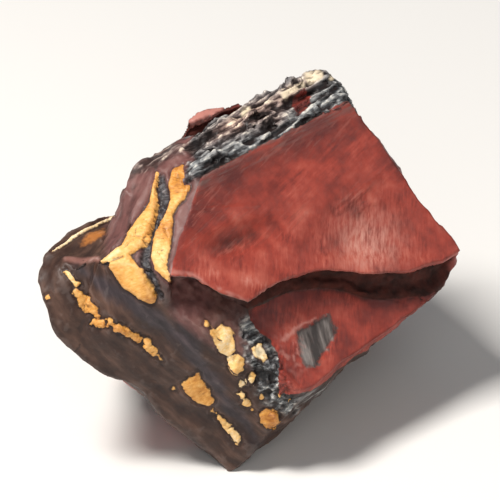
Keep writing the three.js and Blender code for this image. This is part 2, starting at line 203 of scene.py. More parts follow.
# The lower edge of the jasper face, over the riser.
FACE_LIP = [
    (-9.0, 24.2), (-6.3, 23.8), (-3.2, 22.0), (0.2, 20.5), (2.6, 21.9), (5.0, 23.2), (7.5, 24.0),
    (10.0, 24.2), (12.0, 23.9), (14.3, 23.9), (16.5, 23.6), (19.0, 23.7), (22.0, 24.4), (25.7, 26.1),
]
# How far the plain break of the solid is drawn up to reach that edge, in mm, along x.
LIP_RISE = [
    (-3.0, 0.0), (0.2, 0.4), (5.0, 0.65), (9.0, 0.9), (12.0, 0.95), (15.0, 1.5), (20.0, 1.5), (23.0, 1.3),
    (26.5, 0.0),
]
LIP_REACH = 6  # how far up the face that drawing up is felt
# The worn edge where the riser starts, left of the bench.
BENCH_CORNER = [(-8.0, 22.6, 1.0), (-8.1, 20.2, 1.2)]
WEAR_ROUNDS = 6
# A grey facet of hematite in the ledge, by its corners.
HEMATITE_FACET = [
    (6.1, 17.2), (6.5, 14.4), (7.3, 12.7), (8.6, 12.5), (9.9, 14.6), (11.2, 16.9), (10.1, 19.2),
]
# The lip along its upper left side, raised a little and painted with a highlight.
FACET_LIP = [(4.2, 15.8, 0.0), (5.4, 16.8, 0.12), (6.8, 17.8, 0.08), (8.4, 18.6, 0.0)]
# Cream blocks at the top end of the crest.
CREST_CREAM = [
    [(4.6, 45.8, 0.22), (6.9, 47.0, 0.35)], [(8.0, 48.0, 0.75), (8.8, 48.3, 0.65)], [(10.5, 48.0, 0.3)],
    [(4.8, 45.5, 0.3)], [(-0.2, 43.6, 0.3), (0.3, 44.0, 0.35)],
]
# The flake of jasper that stands up behind the crest, by its corners, and its top edge and thin left edge,
# where a highlight is painted.
SPUR = [(-8.9, 38.5), (-6.0, 38.5), (0.4, 42.0), (0.4, 46.0), (-7.6, 46.0), (-8.9, 41.0)]
SPUR_EDGE = [
    [
        (-7.2, 42.7, 0.1), (-6.2, 43.1, 0.35), (-5.2, 43.5, 0.5), (-4.2, 43.9, 0.5), (-3.2, 44.3, 0.4),
        (-2.5, 44.5, 0.1),
    ],
    [(-7.9, 40.4, 0.05), (-7.3, 42.4, 0.1)],
]
# The grey green top margin of the shoulder.
SHOULDER_TOP = [(-13.4, 36.3, 0.6), (-11.0, 37.9, 0.8), (-8.6, 38.9, 0.8), (-7.0, 39.2, 0.6)]
# Low steps in the jasper face.
JASPER_STEPS = [
    [(10.8, 32.2, 0.0), (13.5, 34.3, 0.1), (16.4, 36.5, 0.0)],
    [(11.0, 31.3, 0.0), (12.8, 32.8, 0.1), (14.6, 34.4, 0.0)],
    [(12.5, 31.0, 0.0), (14.4, 32.2, 0.05), (16.2, 32.9, 0.0)],
    [(-6.2, 31.8, 0.0), (-2.6, 31.9, 0.08), (1.6, 32.1, 0.0)],
]

# Ovals of the view: strength, middle, half width, half height and turn in degrees.
# Soft ridges and dents of the jasper face.
JASPER_SWELLS = [
    (0.6, (-1.8, 30.3), 5.5, 1.5, 16), (-1.0, (-1.2, 27.9), 3.4, 1.3, 22), (0.5, (6.5, 29.5), 1.8, 4.5, -35),
    (0.6, (-0.5, 22.8), 3.2, 1.4, -12), (0.5, (13, 25.4), 8, 0.9, -2),
]
# Where the jasper is paler, or darker where the strength is negative.
JASPER_TONES = [
    (-0.5, (-7.5, 28), 2, 7, 0), (0.6, (0, 22.8), 4.5, 2.2, -10), (0.5, (14, 25.6), 9, 1.6, 0),
    (0.3, (5, 28), 4, 4, 0), (0.4, (-1.0, 30.2), 5.0, 0.7, 24), (0.6, (5.2, 16.6), 0.9, 2.2, -30),
    (-0.5, (16, 21), 6, 2, 30), (0.7, (8.0, 11.4), 1.4, 0.9, 0), (-1.2, (2.3, 19.3), 2.8, 1.7, -30),
]
# Where short dark and pale strokes cross the jasper.
HATCHED = [
    (1.0, (-0.8, 27.9), 3.4, 1.5, 25), (0.7, (-2.8, 31.5), 4, 1.2, 0), (0.9, (13.4, 33.2), 3.6, 1.4, 42),
    (0.5, (5.5, 30.5), 1.4, 4, -35), (0.5, (-6.5, 28), 1.6, 5, -10),
]
# Where golden fibre and the grey facet are pale, or deep in colour where the strength is negative.
CREAM = [
    (0.8, (-10.3, 26.0), 1.5, 1.6, 0), (-0.5, (-9.6, 29.3), 1.5, 1.5, 0), (1.0, (1.9, 14.6), 1.2, 1.2, 0),
    (1.0, (-16.2, 26.1), 1.6, 0.7, 28), (0.6, (-2.4, 15.5), 1.6, 3.2, 0), (0.6, (0.2, 10.2), 2, 2, 0),
    (0.9, (-21.0, 23.8), 1.4, 1.4, 0), (-0.9, (-7.8, 35.6), 1.4, 2.2, 0), (-0.8, (3.0, 6.5), 1.6, 1.6, 0),
    (-0.5, (-16.0, 17.8), 6, 1.6, -38), (-0.7, (-11.3, 20.9), 1.3, 0.9, 0), (-0.4, (-5.4, 9.6), 1.6, 2, 0),
    (0.8, (7.0, 15.8), 0.9, 3, 8), (-1.2, (8.6, 15.0), 0.5, 3.4, 12), (-0.7, (10.4, 17.8), 0.8, 1.6, 0),
    (0.7, (1.9, 14.6), 1.3, 1.3, 0), (0.5, (-2.0, 15.0), 1.8, 3.0, 20), (0.9, (0.3, 10.0), 1.4, 1.9, 30),
    (1.0, (-1.6, 4.8), 1.2, 2.2, 40),
]
# Where the layers of the crest are brown and cream rather than grey.
WARM = [
    (1.0, (0.6, 43.2), 3.8, 1.5, 32), (0.8, (-3.4, 41.0), 3.0, 1.0, 32), (0.9, (6.0, 46.2), 3.6, 1.3, 38),
    (0.6, (3.4, 42.4), 1.6, 0.7, 30),
]


# ---------------------------------------------------------------- the fine mesh

COARSE_CREASE = radians(42)  # edges sharper than this stay where they are while the rest is smoothed
SHADE_CREASE = radians(50)
REST_HEIGHT = 0.02 * MM  # what lies lower than this is part of the flat break underneath
CALM_HEIGHT = 1.2 * MM  # the relief fades out below this height
EDGE = 0.42 * MM  # longer edges above the floor are split once more
FINE_EDGE = 0.3 * MM  # and in the detailed places these are split again


def ease(bm, times, share, calm=None):
    """Draws each vertex towards its neighbours, on a crease only along it, and none on the floor."""
    creases = [e for e in bm.edges if e.calc_face_angle(0) > COARSE_CREASE]
    beside = {}
    for e in creases:
        for v in e.verts:
            beside.setdefault(v, []).append(e.other_vert(v))
    free = [v for v in bm.verts if v not in beside and v.co.z > REST_HEIGHT]
    if calm:
        free = [v for v in free if calm(v)]
    for _ in range(times):
        bmesh.ops.smooth_vert(
            bm, verts=free, factor=share, use_axis_x=True, use_axis_y=True, use_axis_z=True
        )
    for _ in range(2):
        moved = {
            v: v.co.lerp((near[0].co + near[1].co) / 2, share)
            for v, near in beside.items()
            if len(near) == 2 and v.co.z > REST_HEIGHT
        }
        for v, co in moved.items():
            v.co = co


def split(bm, edges):
    bmesh.ops.subdivide_edges(bm, edges=edges, cuts=1, use_grid_fill=True)
    bmesh.ops.triangulate(bm, faces=[f for f in bm.faces if len(f.verts) > 3])


def calm_side(v):
    """True on the toe side, the shoulder and the jasper, which broke smooth."""
    x, y, z = SHOW_TURN @ (v.co / MM) + SHOW_ORIGIN
    glitter = 0 < x < 7 and y < 20
    crest = over_top_edge(x, y) > -0.3 and x > -7.5
    return (SHOW_TURN @ v.normal).z > 0.25 and not glitter and not crest and x > -23


def fine_stone(node, detailed):
    """A finely divided, merged copy of the CAD stone; detailed(co) says where it is divided once more."""
    bm = bmesh.new()
    bm.from_mesh(node.data)
    bmesh.ops.remove_doubles(bm, verts=bm.verts[:], dist=1e-6)
    bm.normal_update()
    split(bm, bm.edges[:])
    ease(bm, 3, 0.5)
    bm.normal_update()
    ease(bm, 8, 0.5, calm_side)
    above = [e for e in bm.edges if max(v.co.z for v in e.verts) > REST_HEIGHT]
    split(bm, [e for e in above if e.calc_length() > EDGE])
    ease(bm, 2, 0.5)
    chosen = detailed(np.array([v.co for v in bm.verts]))
    bm.verts.index_update()
    split(bm, [e for e in bm.edges if e.calc_length() > FINE_EDGE and all(chosen[v.index] for v in e.verts)])
    mesh = bpy.data.meshes.new("tiger_iron")
    bm.to_mesh(mesh)
    bm.free()
    return mesh


def array(items, name, size=3):
    values = np.empty(len(items) * size, np.float32)
    items.foreach_get(name, values)
    return values.reshape(-1, size).astype(float) if size > 1 else values.astype(float)


def in_show(co):
    return (co / MM) @ np.array(SHOW_TURN).T + np.array(SHOW_ORIGIN)


class Surface:
    """The vertices of the fine mesh with what the relief and the colours need to know about each place."""

    def __init__(self, mesh):
        self.mesh = mesh
        self.pairs = np.array([e.vertices[:] for e in mesh.edges])
        self.read()

    def read(self):
        self.mesh.update()
        self.co = array(self.mesh.vertices, "co")
        self.normal = array(self.mesh.vertex_normals, "vector")
        self.show = in_show(self.co)
        self.x, self.y, self.z = self.show.T
        self.facing = self.normal @ np.array(SHOW_TURN).T
        self.bed = (self.show - np.array(JASPER_CORNER)) @ np.array(BED_NORMAL)

    def write(self, co):
        self.mesh.vertices.foreach_set("co", co.ravel())
        self.read()

    def calm(self):
        """0 for the vertices on the floor and 1 for those well above it."""
        return smooth(self.co[:, 2], 0, CALM_HEIGHT)

    def raise_by(self, height):
        """Moves each vertex out along its normal by so many mm, but nothing near the floor."""
        moved = self.co + self.normal * (height * self.calm() * MM)[:, None]
        moved[:, 2] = np.maximum(moved[:, 2], 0)
        self.write(moved)

    def shift(self, by):
        """Moves each vertex by its own step of the show frame, in mm."""
        self.write(self.co + (by @ np.array(SHOW_TURN)) * MM)

    def settle(self, share):
        """Draws each vertex towards the middle of its surroundings by its share, none near the floor."""
        self.write(self.co + (self.around(self.co, 3) - self.co) * (share * self.calm())[:, None])

    def around(self, values, times):
        """The values evened out over the neighbours, so many times."""
        a, b = self.pairs.T
        count = np.bincount(a, minlength=len(self.co)) + np.bincount(b, minlength=len(self.co))
        flat = values.reshape(len(self.co), -1)
        for _ in range(times):
            total = np.stack(
                [
                    np.bincount(a, column[b], len(self.co)) + np.bincount(b, column[a], len(self.co))
                    for column in flat.T
                ],
                axis=1,
            )
            flat = 0.5 * flat + 0.5 * total / count[:, None]
        return flat.reshape(values.shape)

    def grain(self, size, seed=0, stretch=None, octaves=3):
        """Cloudy noise of about -1 to 1 with lumps of so many mm."""
        at = self.show if stretch is None else stretch
        return np.array([noise.fractal(Vector(p), 0.9, 2.0, octaves) for p in at / size + seed * 17.3])

    def ridges(self, size, seed=0, stretch=None):
        """Sharp-crested noise, 0 in the valleys and 1 on the crests."""
        at = self.show if stretch is None else stretch
        return np.array([1 - abs(noise.noise(Vector(p))) * 2 for p in at / size + seed * 11.7])

    def cells(self, size, seed=0, stretch=None):
        """Distance of each place from the joint between two grains, 0 on the joint."""
        at = self.show if stretch is None else stretch
        found = (noise.voronoi(Vector(p))[0] for p in at / size + seed * 5.1)
        return np.array([d[1] - d[0] for d in found])


# Turns the show frame so that its third axis runs across the beds, along the fibres.
BED_TURN = BED_NORMAL.rotation_difference(Vector((0, 0, 1))).to_matrix()


def layered(show, thinner):
    """Places drawn together along the beds, so that noise read there runs in thin layers."""
    return (show @ np.array(BED_TURN).T) * np.array((1, 1, thinner))


def from_plane(s, drop):
    """Distance of each place from the jasper face sunk by so many mm."""
    plane = -JASPER_FALL[0] * (s.x - JASPER_CORNER[0]) - JASPER_FALL[1] * (s.y - JASPER_CORNER[1]) - drop
    return (s.z - plane) * JASPER_NORMAL.z


def face_lip(x):
    """How high up the view the lower edge of the jasper face lies, in mm."""
    return np.interp(x, *zip(*FACE_LIP))


def draw_up_lip(s):
    """Draws the lower edge of the jasper face up to its lip, and the top of the riser with it."""
    rise = np.interp(s.x, *zip(*LIP_RISE))
    over_lip = s.y - face_lip(s.x) + rise
    depth = -from_plane(s, 0)
    near = (1 - smooth(over_lip, 0, LIP_REACH)) * (1 - smooth(depth, 0.5, 3.0)) * (depth > -1)
    s.shift((rise * near)[:, None] * np.array((0, 1, -JASPER_FALL[1])))


def wear_bench_corner(s):
    """Rounds the sharp edge left of the bench."""
    for _ in range(WEAR_ROUNDS):
        s.settle(smooth(route(s.x, s.y, BENCH_CORNER), -0.6, 0.3) * smooth(s.z, -8, -6))


def ledge_red_side(s):
    """How far to the right of the edge of the ledge's red a place lies, in mm."""
    xs, ys = zip(*LEDGE_RED_EDGE)
    return s.x - np.interp(-s.y, [-y for y in ys], xs)


def over_top_edge(x, y):
    """How far above the top edge of the jasper face a place of the view lies, in mm."""
    return y - TOP_EDGE_START[1] - TOP_EDGE_SLOPE * (x - TOP_EDGE_START[0])


def band_depth(bed, bands):
    """How deep inside the nearest of the bands a place lies, in mm; negative outside."""
    return np.max([np.minimum(bed - low, high - bed) for low, high in bands], axis=0)


def inside(places, strip):
    """How deep inside a strip the places lie, in mm."""
    return route(places.x, places.y, strip)


def inside_any(places, strips):
    """How deep inside the nearest of several strips the places lie, in mm."""
    return np.max([inside(places, each) for each in strips], axis=0)


def inside_outlines(places, outlines):
    """How deep inside the nearest of several outlines the places lie, in mm."""
    return np.max([polygon(places.x, places.y, each) for each in outlines], axis=0)


def survey(s):
    """What each place of the smooth stone belongs to, as shares from 0 to 1 and as depths in mm."""
    at = SimpleNamespace()
    at.toward, at.up = s.facing[:, 2], s.facing[:, 1]
    at.over_face, at.over_ledge = from_plane(s, 0), from_plane(s, LEDGE_DROP)
    at.over_edge = over_top_edge(s.x, s.y)
    at.right_of_bench = ledge_red_side(s) + 0.5 * s.grain(1.7, 50)
    at.front = smooth(at.toward, -0.1, 0.2)
    at.uneven = SimpleNamespace(x=s.x + 0.25 * s.grain(0.9, 41), y=s.y + 0.25 * s.grain(0.9, 42))
    survey_jasper(s, at)
    survey_breaks(s, at)
    survey_beds(s, at)
    survey_jasper_marks(s, at)
    survey_dark_marks(s, at)
    return at


def survey_jasper(s, at):
    """The jasper face with its rim, the ledge and the riser between them."""
    square = s.facing @ np.array(JASPER_NORMAL)
    at.near_face = 1 - smooth(abs(at.over_face), 1.0, 1.6)
    ledge = (1 - smooth(abs(at.over_ledge), 1.0, 1.6)) * smooth(at.right_of_bench, -0.4, 0.4)
    at.jasper = smooth(square, 0.84, 0.94) * np.maximum(at.near_face, ledge)
    at.rim = smooth(square, 0.3, 0.6) * (1 - smooth(-at.over_face, 0.3, 0.8)) * (1 - smooth(s.y, 26, 27.5))
    at.rim *= smooth(s.x, -9.5, -8)

    between = smooth(-at.over_face, 0.4, 0.9) * smooth(at.over_ledge, -0.3, 0.2) * (1 - at.jasper)
    at.riser = between * smooth(s.x, -8.6, -6.4) * smooth(s.y, 18, 19) * smooth(-at.up, 0.25, 0.6)
    at.riser *= 1 - smooth(s.y, 29, 31)
    under_lip = smooth(face_lip(s.x) - s.y, 0.1, 0.5) * smooth(s.x, 1, 3)
    under_lip *= smooth(at.over_ledge, 0.3, 0.9) * at.front
    at.riser = np.maximum(at.riser, under_lip)
    at.jasper *= 1 - under_lip
    at.rim *= 1 - under_lip
    at.foot = smooth(at.over_ledge, 0.2, 1.5)


def survey_breaks(s, at):
    """The red flake, the crest, the bench, the crumbly beds and the gap."""
    behind = -s.z - 17.5 - 0.55 * (s.x + 8)
    within = polygon(s.x, s.y, SPUR)
    at.spur = smooth(within, -0.3, 0.1) * smooth(behind, 0, 0.8) * smooth(at.toward, -0.3, 0)
    within = np.minimum(within, s.y - 40.8) + 0.9 * s.grain(1.6, 55)
    back = smooth(within, 0.2, 0.8) * smooth(behind, 0, 0.8) * smooth(s.z, -30, -28)
    at.spur = np.maximum(at.spur, back * (1 - smooth(at.toward, -0.3, 0)))

    beside_face = smooth(at.over_edge, -2.6, -1.8) * (1 - at.jasper) * smooth(s.x, -6, -5)
    at.crest = np.maximum(smooth(at.over_edge, -0.1, 0.5), beside_face)
    at.crest *= smooth(s.x + 1.2 * s.grain(2.2, 53), -7.5, -6.2)
    at.crest *= smooth(s.z + 2.5 * s.grain(3, 54), -32, -28.5) * (1 - at.spur)

    level = smooth(at.over_ledge, -1.6, -0.6) * smooth(-at.over_face, 1.2, 2.2)
    at.bench = level * smooth(-at.right_of_bench, 0, 0.8) * smooth(at.toward, 0.2, 0.5)
    at.bench *= smooth(s.x, -10, -8)
    glitter = route(s.x + 0.9 * s.grain(1.8, 45), s.y + 0.9 * s.grain(1.8, 46), GLITTER_ZONE)
    at.block = smooth(inside_outlines(s, BLOCKS), -0.3, 0.1) * at.front
    at.glitter = smooth(glitter, -0.7, 0.5) * at.front * (1 - at.jasper)
    at.glitter *= (1 - smooth(at.right_of_bench, -0.2, 0.5)) * (1 - 0.9 * at.block)
    at.foot_strip = smooth(inside(s, LEDGE_FOOT), -0.4, 0.3) * (1 - at.jasper)
    at.gap = smooth(inside(s, SHOULDER_GAP), -0.35, 0.3) * at.front * (1 - at.jasper)
    at.rough = (1 - at.jasper) * (1 - at.crest) * (1 - at.riser) * (1 - at.spur)


def survey_beds(s, at):
    """The golden and the red beds, as depths in mm."""
    bed = s.bed + 0.5 * s.grain(6, 1)
    crumbled = 0.4 * np.maximum(s.grain(0.9, 21), -0.3)
    whole = inside_any(s, [SHOULDER_STRIP, LENS_STRIP, CREASE_STRIP, UPPER_STRIP, SHELF_RIM])
    broken = np.maximum(inside_any(at.uneven, TOE_VEIN) - crumbled, inside_outlines(at.uneven, BLOCKS))
    broken = np.maximum(broken, inside_any(at.uneven, [[each] for each in CRUMBS]))
    shown = smooth(at.toward, -0.25, 0.0)
    at.gold = np.maximum(whole, broken) * shown
    at.gold += (band_depth(bed, GOLDEN_BEDS) - crumbled) * (1 - shown)

    at.red = band_depth(bed, RED_BEDS)
    at.red = np.where((at.toward > 0.1) & (s.x < 4), -1.5, at.red)
    at.red = np.maximum(at.red, 3 * np.maximum(at.jasper, at.rim) - 1.5) - 3 * smooth(at.riser, 0.1, 0.5)
    rust = 1.5 * spot(s.x, s.y, (6.8, 44.9), 1.2, 1.9, -20) - 0.8
    at.red = np.where(at.crest > 0.3, rust, at.red) - 3 * at.foot_strip
    at.red = np.maximum(at.red, 3 * at.spur - 1.5)
    at.gold = np.where(at.red > 0.2, -2, at.gold) - 3 * at.crest


def survey_jasper_marks(s, at):
    """The facet, the torn lip with its painted highlight, the swells and the streaks of the jasper."""
    at.facet = np.where(at.jasper > 0.5, polygon(s.x, s.y, HEMATITE_FACET), -2)
    # The facet's lip, where a highlight is painted.
    at.facet_lip = smooth(inside(at.uneven, FACET_LIP), -0.25, 0.1) * at.jasper
    flecks = spot(s.x, s.y, (5.6, 14.6), 1.6, 2.4, 20) * smooth(s.grain(0.55, 43), 0.1, 0.45)
    at.flecks = 0.8 * flecks * at.jasper
    over_lip = s.y - face_lip(s.x)
    # A painted highlight along the torn lower lip of the jasper, towards the tongue's tip.
    at.torn = (1 - smooth(abs(over_lip - 0.1), 0.1, 0.45)) * np.maximum(at.rim, at.near_face) * at.front
    at.torn *= 0.8 * (1 - smooth(s.x, 2, 7)) * smooth(s.grain(1.1, 44), -0.25, 0.35)
    at.swells = spots(s, JASPER_SWELLS)
    at.step = smooth(inside_any(s, JASPER_STEPS), -0.35, 0.05)
    at.tone = jasper_tone(s, at)
    at.fan = smooth(28.5 + 0.35 * s.x - s.y, -3, 3)
    stripes = 0.5 + 0.5 * np.sin(6.5 * at.over_edge + 1.6 * s.grain(4, 47))
    at.veil = smooth(at.over_edge, -2.8 - 0.8 * s.grain(3, 48), -0.2) * (0.35 + 0.65 * stripes) * at.jasper
    at.sheen = spot(s.x, s.y, (14.9, 27.9), 3.7, 3.4, -20)
    at.hatched = np.clip(spots(s, HATCHED) + 0.6 * smooth(at.over_edge, -6, -1.5), 0, 1)


def survey_dark_marks(s, at):
    """The cracks, lips and colours of the toe, the shoulder, the bench, the flake and the crest."""
    at.lens = smooth(inside(s, LENS_STRIP), -0.4, 0.1)
    blue = inside(s, BLUE_BED) + 0.8 * s.grain(2.5, 52, layered(s.show, 2))
    at.blue = smooth(blue, -0.6, 0.8) * at.front
    at.crack = smooth(inside(s, LENS_CRACK), -0.3, 0.1) * at.front
    # The toe's lip, painted with a highlight.
    at.lip = smooth(inside(s, TOE_LIP), -0.35, 0.1) * at.front
    cream = spots(s, CREAM) + 1.5 * smooth(inside(s, SHELF_RIM), -0.5, 0.2)
    at.cream = np.clip(cream, -1, 1.7)
    at.knob = smooth(inside_any(s, CREST_CREAM), -0.2, 0.15) * at.front * at.crest
    at.warm = np.clip(spots(s, WARM) + 0.7 * smooth(inside(s, SHOULDER_TOP), -0.8, 0.2), 0, 1)
    margin = smooth(inside(s, SHOULDER_TOP) + 0.5 * s.grain(1.2, 51), -0.4, 0.4) * at.front
    at.margin = 0.7 * margin * (1 - smooth(at.gold, -0.2, 0.1))

    at.plain = 1 - smooth(s.x, -2.5, 1.5)
    shoulder = smooth(s.y + 0.55 * s.x, 15.5, 18.5) * smooth(-s.x, 3, 7) * smooth(s.x, -17.6, -16)
    bench = at.bench * (0.5 + 0.5 * smooth(-s.x, 4, 7.5))
    under = np.maximum(bench, smooth(at.riser, 0.1, 0.5) * at.plain)
    at.purple = np.clip(at.front * shoulder * (1 - 0.75 * margin) + under, 0, 1)
    # A painted highlight along the flake's top and left edges.
    at.spur_edge = smooth(inside_any(at.uneven, SPUR_EDGE), -0.15, 0.1) * at.spur
    at.spur_edge *= smooth(at.toward, -0.4, -0.1)
    # The flake's face below its top edge, where shade is painted, less towards its right end.
    at.spur_face = at.spur * (1 - at.spur_edge) * (1 - 0.5 * smooth(s.x, -3.2, -2.2))
    at.amber = spot(s.x, s.y, (-18.4, 28.5), 2.2, 0.7, 27) * smooth(at.up, 0.1, 0.4)
    splinters = along_crest(s.show + 0.5 * s.grain(2.5, 30)[:, None], 6)
    at.splinter = 0.6 * s.ridges(1.35, 5, splinters) + 0.4 * s.ridges(0.75, 9, splinters)


def jasper_tone(s, at):
    """Where the jasper is paler, up to 1, and where it is darker, down to -1."""
    tone = spots(s, JASPER_TONES) - 0.9 * smooth(at.over_edge, -8, -1.5)
    tone -= 0.35 * smooth(at.over_edge, -3.2, -1) * np.sin(at.over_edge * 5.5 + 2 * s.grain(5, 31))
    # Painted highlight on the ridges and painted shade in the dents of the swells.
    tone += 0.3 * np.maximum(at.swells, -0.4)
    # Painted shadow on the ledge just below the jasper's lip.
    below_lip = face_lip(s.x) - s.y
    tone -= 0.9 * smooth(below_lip, 0.4, 1.2) * (1 - smooth(below_lip, 1.6, 4.4)) * smooth(s.x, -1, 1)
    return np.clip(tone, -1, 1)


def detailed_places(co):
    """Where the mesh is divided once more: the crest, the golden strips and the crumbly beds of the toe."""
    x, y, z = in_show(co).T
    crest = (over_top_edge(x, y) > -0.8) & (x > -8.5) & (z > -27)
    strips = [SHOULDER_STRIP, UPPER_STRIP, SHOULDER_GAP, GLITTER_ZONE, CREASE_STRIP, SHELF_RIM, TOE_LIP]
    places = SimpleNamespace(x=x, y=y)
    outlines = [*BLOCKS, HEMATITE_FACET]
    near = np.maximum(inside_any(places, strips + TOE_VEIN), inside_outlines(places, outlines))
    return crest | ((near > -0.4) & (z > -20))


# The thin layers of the crest run this way, down and back along the top edge of the jasper face.
CREST_RUN = Vector((0.72, 0.40, -0.57)).normalized()
CREST_TURN = CREST_RUN.rotation_difference(Vector((1, 0, 0))).to_matrix()


def along_crest(show, longer):
    """Places drawn together along the crest, so that noise read there runs in long splinters."""
    return (show @ np.array(CREST_TURN).T) * np.array((1 / longer, 1, 1))


# Heights and depths of the relief, in mm.
SWELL_HEIGHT = 0.4
STEP_HEIGHT = 0.09
SPLINTER_HEIGHT = 0.9
CRUMB_HEIGHT = 0.5
GOLD_RISE = 0.22
TOE_LIP_HEIGHT = 0.12
FACET_LIP_HEIGHT = 0.05
FACET_DEPTH = 0.25
GAP_DEPTH = 0.55
RISER_DEPTH = 1.3
CRACK_DEPTH = 0.35
SPUR_DEPTH = 0.35
FIBRE_CRACK_DEPTH = 0.14
GRAIN_DEPTH = 0.28


def carve(s, at):
    """Gives the smooth stone the relief of its breaks, bed by bed."""
    back = 1 - at.front
    thin = layered(s.show, 3.2)
    rough_front, rough_back = at.rough * at.front, at.rough * back
    swells = 0.12 * s.grain(7, 2) + 0.05 * s.grain(2.5, 13) + SWELL_HEIGHT * at.swells
    height = at.jasper * (swells + STEP_HEIGHT * at.step)
    height += at.rough * (0.14 * at.front + 0.3 * back) * s.grain(2.6, 3)
    height += rough_front * 0.18 * (s.ridges(5.0, 15, layered(s.show, 1.6)) - 0.5)
    height += rough_back * 0.28 * (s.ridges(4.5, 4, thin) - 0.5)
    height += at.bench * 0.2 * (s.grain(1.3, 16) + 0.6 * (s.ridges(1.8, 17) - 0.5))
    calm_corner = 1 - 0.85 * spot(s.x, s.y, (10.9, 48.3), 1.5, 1.5)
    height += calm_corner * at.crest * (SPLINTER_HEIGHT * (at.splinter - 0.62) + 0.25 * s.grain(2.0, 6))
    height += at.glitter * CRUMB_HEIGHT * (s.grain(1.3, 7) - 0.2)
    height += rough_front * 0.2 * (smooth(at.gold, -0.04, 0.12) - smooth(at.gold, -0.4, -0.1))
    height += rough_front * GOLD_RISE * smooth(at.gold, -0.12, 0.35) * (1 - at.block)
    height += TOE_LIP_HEIGHT * at.lip + FACET_LIP_HEIGHT * at.facet_lip
    height -= GAP_DEPTH * at.gap + RISER_DEPTH * at.riser * at.foot + CRACK_DEPTH * at.crack
    height -= at.jasper * FACET_DEPTH * smooth(at.facet, -0.2, 0.4)
    height += at.spur * (0.12 * s.grain(1.5, 49) - SPUR_DEPTH * (1 - at.spur_edge))
    s.raise_by(height)

    fibre = layered(s.show, 0.35)
    golden = smooth(at.gold, 0, 0.3) * at.rough
    height = at.rough * (0.035 * at.front + 0.07 * back) * s.grain(0.8, 8)
    height += at.riser * 0.2 * s.grain(0.9, 14, thin) + at.jasper * 0.01 * s.grain(0.9, 18)
    cracks = 1 - smooth(s.cells(1.6, 10, fibre), 0.02, 0.12)
    height -= golden * at.front * (1 - at.lens) * (1 - 0.8 * at.block) * FIBRE_CRACK_DEPTH * cracks
    height += golden * (1 - 0.6 * at.block) * 0.05 * s.grain(0.45, 11, fibre)
    height += (at.gap + at.glitter) * GRAIN_DEPTH * (smooth(s.cells(0.9, 12), 0, 0.5) - 0.5)
    s.raise_by(height)
    loose = np.linalg.norm(s.around(s.co, 3) - s.co, axis=1) / MM
    s.settle(smooth(loose, 0.18, 0.3) * back)


def colour_marks(s, at):
    """Stores on the mesh what the stone's finish reads at each place."""
    # How hollow the surface is, broadly and in small pits; the finish darkens the hollows with dust and
    # painted shade and lightens the rims with wear and a painted highlight.
    broad = np.einsum("ij,ij->i", s.around(s.co, 14) - s.co, s.normal) / MM * (0.5 + 0.5 * at.front)
    broad *= 1 - 0.6 * np.maximum(at.bench, at.riser * at.plain)
    small = np.einsum("ij,ij->i", s.around(s.co, 3) - s.co, s.normal) / MM
    riser = smooth(at.riser, 0.1, 0.5)
    glitter = at.glitter * (1 - smooth(at.red, 0, 0.5))
    marks = {
        "gold": at.gold,
        "red": at.red,
        "crest": np.max([at.crest, glitter, at.margin, 0.6 * at.foot_strip], axis=0),
        "gap": np.maximum(at.gap, at.crack),
        # riser: painted shade on the riser under the lip, weaker on the left plain, and on the flake's front
        # face
        "riser": np.maximum(riser * (1 - 0.8 * at.plain), 0.85 * at.spur_face),
        "cream": at.cream,
        "facet": at.facet,
        # lit: painted highlights on the lips and the flake's edges, with the pale flecks by the facet
        "lit": np.clip(0.45 * at.lip + at.facet_lip + at.flecks + at.torn + at.spur_edge, 0, 1),
        "knob": at.knob,
        "warm": at.warm,
        "splinter": at.splinter,
        "purple": at.purple,
        "amber": at.amber,
        "blue": at.blue,
        "tone": at.tone,
        "veil": at.veil,
        "hatched": at.hatched,
        "fan": at.fan,
        "sheen": at.sheen,
        "hollow": np.clip(broad / 0.14, -1, 1),
        "pit": np.clip(small / (0.035 + 0.055 * (1 - at.front)), -1, 1),
    }
    for name, values in marks.items():
        layer = s.mesh.attributes.new(name, "FLOAT", "POINT")
        layer.data.foreach_set("value", values.astype(np.float32))


# ---------------------------------------------------------------- finishes


